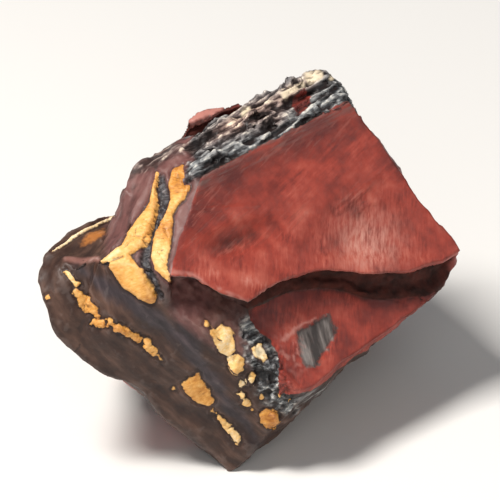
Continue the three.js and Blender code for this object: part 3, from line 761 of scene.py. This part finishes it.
class Finish:
    """A material made of nodes, with short words for the kinds of node that the stone needs."""

    def __init__(self, name):
        self.material = bpy.data.materials.new(name)
        self.material.use_nodes = True
        self.nodes = self.material.node_tree.nodes
        self.links = self.material.node_tree.links
        self.shader = self.nodes["Principled BSDF"]
        self.places = self.add("ShaderNodeTexCoord").outputs["Object"]

    def add(self, kind, inputs=None, **settings):
        node = self.nodes.new(kind)
        for name, value in settings.items():
            setattr(node, name, value)
        for name, value in (inputs or {}).items():
            self.set(node.inputs[name], value)
        return node

    def set(self, socket, value):
        if isinstance(value, bpy.types.NodeSocket):
            self.links.new(value, socket)
        else:
            socket.default_value = value

    def mark(self, name):
        return self.add("ShaderNodeAttribute", attribute_name=name).outputs["Fac"]

    def place(self, turn, origin=(0, 0, 0), scale=(1, 1, 1)):
        """Places in mm, turned, with each axis drawn out by its scale."""
        turned = self.add(
            "ShaderNodeMapping",
            {
                "Vector": self.places,
                "Scale": (1 / MM,) * 3,
                "Rotation": turn.to_euler(),
                "Location": origin,
            },
        )
        if tuple(scale) == (1, 1, 1):
            return turned.outputs[0]
        return self.add("ShaderNodeMapping", {"Vector": turned.outputs[0], "Scale": scale}).outputs[0]

    def drawn_out(self, at, turn, longer):
        """The places drawn together along a line turned so many degrees, so that noise runs along it."""
        settings = {"Vector": at, "Rotation": (0, 0, radians(turn)), "Scale": (longer, 1, 1)}
        return self.add("ShaderNodeMapping", settings, vector_type="TEXTURE").outputs[0]

    def noise(self, at, size, detail=3, roughness=0.55, distortion=0):
        settings = {"Vector": at, "Scale": 1 / size, "Detail": detail, "Roughness": roughness}
        settings["Distortion"] = distortion
        return self.add("ShaderNodeTexNoise", settings).outputs["Fac"]

    def cells(self, at, size, feature="F1"):
        settings = {"Vector": at, "Scale": 1 / size}
        return self.add("ShaderNodeTexVoronoi", settings, feature=feature).outputs["Distance"]

    def maths(self, operation, first, second=0.0, third=0.0):
        node = self.add("ShaderNodeMath", operation=operation)
        for socket, value in zip(node.inputs, (first, second, third)):
            self.set(socket, value)
        return node.outputs[0]

    def times(self, first, second):
        return self.maths("MULTIPLY", first, second)

    def plus(self, first, second):
        return self.maths("ADD", first, second)

    def less(self, first, second):
        return self.maths("SUBTRACT", first, second)

    def ranged(self, value, low, high, to_low=0.0, to_high=1.0, kind="SMOOTHSTEP"):
        """The value carried from one range to another, and held at its ends."""
        ends = {"Value": value, "From Min": low, "From Max": high, "To Min": to_low, "To Max": to_high}
        return self.add("ShaderNodeMapRange", ends, interpolation_type=kind).outputs[0]

    def blend(self, share, first, second):
        node = self.add("ShaderNodeMix", data_type="RGBA")
        for index, value in ((0, share), (6, first), (7, second)):
            self.set(node.inputs[index], value)
        return node.outputs[2]

    def ramp(self, value, stops):
        node = self.add("ShaderNodeValToRGB", {"Fac": value})
        points = node.color_ramp.elements
        while len(points) < len(stops):
            points.new(0.5)
        for point, (position, colour) in zip(points, stops):
            point.position = position
            point.color = (*colour, 1)
        return node.outputs["Color"]


def shared_clouds(f):
    """The places and the clouds that several parts of the stone's finish read."""
    clouds = SimpleNamespace(at=f.place(SHOW_TURN, SHOW_ORIGIN), flat=f.place(JASPER_TURN @ SHOW_TURN))
    clouds.fine = f.noise(clouds.at, 0.55, 4)
    clouds.medium = f.noise(clouds.at, 1.8, 4)
    clouds.broad = f.noise(clouds.at, 6.5, 3)
    clouds.ragged = f.less(f.plus(f.times(clouds.fine, 0.9), f.times(clouds.medium, 0.6)), 0.75)
    clouds.streaks = f.noise(f.drawn_out(clouds.flat, 43, 9), 0.5, 4, 0.65)
    clouds.silk = f.noise(f.drawn_out(clouds.flat, 82, 5), 0.36, 4, 0.65)
    fan = f.mark("fan")
    clouds.strokes = f.plus(f.times(clouds.streaks, f.less(1.0, fan)), f.times(clouds.silk, fan))
    clouds.threads = f.noise(f.place(BED_TURN @ SHOW_TURN, scale=(1.0, 1.0, 0.16)), 0.32, 3, 0.6)
    return clouds


def jasper_colour(f, clouds):
    """Red jasper: cloudy, with fine lines that climb to the right, and a painted sheen patch."""
    patchy = f.times(f.less(clouds.strokes, 0.5), f.ranged(f.noise(clouds.at, 3.5, 2), 0.4, 0.65, 0.12, 0.5))
    cloud = f.plus(f.times(clouds.broad, 0.5), f.plus(f.times(clouds.medium, 0.28), patchy))
    cloud = f.plus(cloud, f.plus(f.times(f.mark("tone"), 0.11), 0.11))
    jasper = f.ramp(
        cloud,
        [
            (0.34, (0.115, 0.019, 0.016)),
            (0.43, (0.20, 0.030, 0.021)),
            (0.52, (0.31, 0.046, 0.030)),
            (0.62, (0.42, 0.088, 0.058)),
            (0.74, (0.56, 0.20, 0.15)),
        ],
    )
    # The sheen patch is a painted highlight, streaked along the silky strokes.
    sheen = f.times(f.mark("sheen"), f.ranged(clouds.silk, 0.32, 0.70, 0.15, 0.95))
    jasper = f.blend(sheen, jasper, (0.60, 0.29, 0.23, 1))
    dark_stroke = f.times(f.mark("hatched"), f.ranged(clouds.streaks, 0.50, 0.62, 0, 0.7))
    jasper = f.blend(dark_stroke, jasper, (0.11, 0.028, 0.022, 1))
    pale_stroke = f.times(f.mark("hatched"), f.ranged(clouds.streaks, 0.46, 0.36, 0, 0.4))
    jasper = f.blend(pale_stroke, jasper, (0.52, 0.17, 0.125, 1))
    layers = f.noise(f.drawn_out(clouds.flat, 28, 16), 0.4, 3, 0.6)
    veil = f.times(f.mark("veil"), f.ranged(layers, 0.42, 0.58, 0.2, 1.0))
    return f.blend(veil, jasper, (0.16, 0.095, 0.085, 1))


def hematite_colour(f, clouds):
    """Hematite: almost black brown, bluish in one bed and purple towards the shoulder."""
    drift = f.noise(f.place(BED_TURN @ SHOW_TURN, scale=(0.35, 0.35, 1.3)), 1.6, 4)
    dark = [(0.3, (0.022, 0.010, 0.008)), (0.5, (0.048, 0.023, 0.016)), (0.72, (0.115, 0.060, 0.042))]
    plum = [(0.3, (0.080, 0.034, 0.031)), (0.52, (0.15, 0.062, 0.056)), (0.72, (0.205, 0.10, 0.088))]
    blue = [(0.3, (0.014, 0.012, 0.016)), (0.5, (0.036, 0.031, 0.040)), (0.72, (0.085, 0.072, 0.085))]
    body = f.blend(f.times(f.mark("blue"), 0.7), f.ramp(drift, dark), f.ramp(drift, blue))
    body = f.blend(f.mark("purple"), body, f.ramp(drift, plum))
    amber = f.ranged(f.plus(f.mark("amber"), f.times(clouds.ragged, 0.8)), 0.3, 0.8)
    return f.blend(amber, body, (0.36, 0.13, 0.030, 1))


def crest_colour(f):
    """Crest: thin layers, grey and black or brown and cream, with a painted highlight where the splinters
    stand out and painted shade in the crevices between them.
    """
    leaves = f.noise(f.place(CREST_TURN @ SHOW_TURN, scale=(0.14, 1, 1)), 0.42, 4, 0.6, 0.3)
    # The splinter mark follows the relief, so raised splinters are painted paler and the crevices darker.
    layer = f.plus(f.times(f.mark("splinter"), 0.55), f.times(leaves, 0.75))
    slate = f.ramp(
        layer,
        [
            (0.56, (0.008, 0.008, 0.009)),
            (0.66, (0.036, 0.037, 0.040)),
            (0.75, (0.12, 0.125, 0.13)),
            (0.84, (0.30, 0.31, 0.31)),
            (0.93, (0.66, 0.64, 0.58)),
        ],
    )
    bark = f.ramp(
        layer,
        [
            (0.56, (0.016, 0.009, 0.008)),
            (0.66, (0.065, 0.038, 0.032)),
            (0.75, (0.19, 0.125, 0.11)),
            (0.84, (0.42, 0.30, 0.24)),
            (0.93, (0.80, 0.66, 0.50)),
        ],
    )
    crest = f.blend(f.mark("warm"), slate, bark)
    return f.blend(f.mark("knob"), crest, (0.74, 0.62, 0.45, 1))


def facet_colour(f, clouds):
    """The grey facet of the ledge, striped from top to bottom."""
    grey = f.plus(f.noise(f.drawn_out(clouds.flat, 98, 6), 0.7, 3, 0.6), f.times(f.mark("cream"), 0.14))
    return f.ramp(
        grey,
        [(0.34, (0.040, 0.033, 0.031)), (0.52, (0.11, 0.093, 0.086)), (0.72, (0.25, 0.22, 0.205))],
    )


def gold_colour(f, clouds):
    """Golden fibre: fine threads across the bed, from deep orange to cream."""
    tone = f.plus(f.times(clouds.threads, 0.5), f.times(clouds.medium, 0.42))
    return f.ramp(
        f.plus(f.times(f.mark("cream"), 0.24), tone),
        [
            (0.18, (0.30, 0.095, 0.014)),
            (0.34, (0.58, 0.25, 0.045)),
            (0.50, (0.75, 0.40, 0.110)),
            (0.66, (0.82, 0.53, 0.21)),
            (0.84, (0.86, 0.71, 0.47)),
        ],
    )


def weathered_and_shaded(f, clouds, body, red):
    """The colour of the beds with dark dust and painted shade in the hollows, paler worn edges with painted
    highlights, and painted shade on the riser and the flake's face.
    """
    hollow, pit = f.mark("hollow"), f.mark("pit")
    # Dark dust and painted shade, deepest in the broad hollows and small pits.
    dust_and_shade = f.ranged(f.plus(f.times(hollow, 0.7), f.times(pit, 0.3)), 0.05, 0.9, 0, 0.62)
    # Paler worn edges on the rims, partly a painted highlight; less of it on the red.
    wear_and_highlight = f.plus(f.times(hollow, -0.35), f.plus(f.times(pit, -0.65), f.times(clouds.ragged, 0.5)))
    worn_and_lit_edge = f.times(f.ranged(wear_and_highlight, 0.35, 1.0, 0, 0.06), f.less(1.0, f.times(red, 0.7)))
    body = f.blend(dust_and_shade, body, (0.018, 0.010, 0.009, 1))
    body = f.blend(worn_and_lit_edge, body, (0.62, 0.50, 0.46, 1))
    # Painted shade for the riser and the flake's front face.
    shade = f.ramp(clouds.medium, [(0.35, (0.022, 0.005, 0.003)), (0.65, (0.075, 0.016, 0.010))])
    return f.blend(f.mark("riser"), body, shade)


def stone_finish():
    """Red jasper, golden fibre and hematite, told apart by the marks on the mesh."""
    f = Finish("tiger iron")
    clouds = shared_clouds(f)
    glass = [(0.35, (0.016, 0.016, 0.020)), (0.6, (0.06, 0.058, 0.066)), (0.75, (0.24, 0.21, 0.21))]
    body = f.blend(f.mark("crest"), hematite_colour(f, clouds), crest_colour(f))
    body = f.blend(f.mark("gap"), body, f.ramp(clouds.fine, glass))
    red = f.ranged(f.plus(f.mark("red"), f.times(clouds.ragged, 0.7)), -0.12, 0.12)
    body = f.blend(red, body, jasper_colour(f, clouds))
    facet = f.ranged(f.plus(f.mark("facet"), f.times(clouds.ragged, 1.4)), -0.2, 0.4)
    body = f.blend(facet, body, facet_colour(f, clouds))
    # Painted highlights on the lips and the flake's edges, and the pale flecks by the facet.
    body = f.blend(f.times(f.mark("lit"), 0.75), body, (0.52, 0.23, 0.19, 1))
    golden = f.ranged(f.plus(f.mark("gold"), f.times(clouds.ragged, 0.42)), -0.07, 0.07)
    body = f.blend(golden, body, gold_colour(f, clouds))
    f.set(f.shader.inputs["Base Color"], weathered_and_shaded(f, clouds, body, red))

    dull = f.plus(f.ranged(clouds.fine, 0.3, 0.7, 0.44, 0.58), f.times(red, -0.08))
    dull = f.plus(dull, f.times(f.mark("riser"), 0.4))
    f.set(f.shader.inputs["Roughness"], dull)
    f.shader.inputs["Specular IOR Level"].default_value = 0.32

    grain = f.noise(clouds.at, 0.22, 4, 0.6)
    height = f.plus(f.times(grain, 0.5), f.times(f.times(clouds.threads, golden), 0.6))
    height = f.plus(height, f.times(f.times(clouds.strokes, red), 0.5))
    bump = f.add("ShaderNodeBump", {"Height": height, "Strength": 0.35, "Distance": 0.12 * MM})
    f.set(f.shader.inputs["Normal"], bump.outputs[0])
    return f.material


def floor_finish():
    f = Finish("pale floor")
    f.set(f.shader.inputs["Base Color"], (0.80, 0.79, 0.77, 1))
    f.shader.inputs["Roughness"].default_value = 0.7
    return f.material


# ---------------------------------------------------------------- the stone

surface = Surface(fine_stone(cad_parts["stone"], detailed_places))
draw_up_lip(surface)
wear_bench_corner(surface)
places = survey(surface)
carve(surface, places)
colour_marks(surface, places)
stone = bpy.data.objects.new("tiger_iron", surface.mesh)
bpy.context.scene.collection.objects.link(stone)
surface.mesh.materials.append(stone_finish())
surface.mesh.set_sharp_from_angle(angle=SHADE_CREASE)
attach(stone, "root")
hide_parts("stone")

# ---------------------------------------------------------------- floor, light and camera

FLOOR_HALF = 3.0
bm = bmesh.new()
bmesh.ops.create_grid(bm, x_segments=1, y_segments=1, size=FLOOR_HALF)
ground = bpy.data.meshes.new("floor")
bm.to_mesh(ground)
bm.free()
ground.materials.append(floor_finish())
floor = bpy.data.objects.new("floor", ground)
bpy.context.scene.collection.objects.link(floor)

low, high = cad_box
middle = (Vector(low) + Vector(high)) / 2


def lamp(name, direction, away, size, power, colour):
    """A square soft light that looks at the stone from a direction."""
    data = bpy.data.lights.new(name, "AREA")
    data.size, data.energy, data.color = size, power, colour
    light = bpy.data.objects.new(name, data)
    light.location = middle + Vector(direction).normalized() * away
    light.rotation_euler = (middle - light.location).to_track_quat("-Z", "Y").to_euler()
    bpy.context.scene.collection.objects.link(light)


lamp("key light", (-0.40, -0.25, 0.88), 0.50, 0.14, 3.5, (1.0, 0.965, 0.92))
lamp("front light", (-0.05, -0.90, 0.48), 0.70, 0.35, 1.0, (1.0, 0.97, 0.94))
lamp("right light", (0.83, 0.05, 0.55), 0.60, 0.22, 0.32, (1.0, 0.98, 0.96))

world = bpy.data.worlds.new("studio")
world.use_nodes = True
world.node_tree.nodes["Background"].inputs["Color"].default_value = (0.93, 0.95, 1.0, 1)
world.node_tree.nodes["Background"].inputs["Strength"].default_value = 0.17
bpy.context.scene.world = world
bpy.context.scene.view_settings.view_transform = "Standard"

LENS = 800
FRAMED = 0.061  # width of the view at the stone
SENSOR = 36
camera_data = bpy.data.cameras.new("camera")
camera_data.lens, camera_data.sensor_width = LENS, SENSOR
camera = bpy.data.objects.new("camera", camera_data)
toward_eye = Vector((0, -cos(SHOW_ELEVATION), sin(SHOW_ELEVATION)))
camera.location = middle + toward_eye * (FRAMED * LENS / SENSOR)
camera.rotation_euler = (-toward_eye).to_track_quat("-Z", "Y").to_euler()
bpy.context.scene.collection.objects.link(camera)
bpy.context.scene.camera = camera
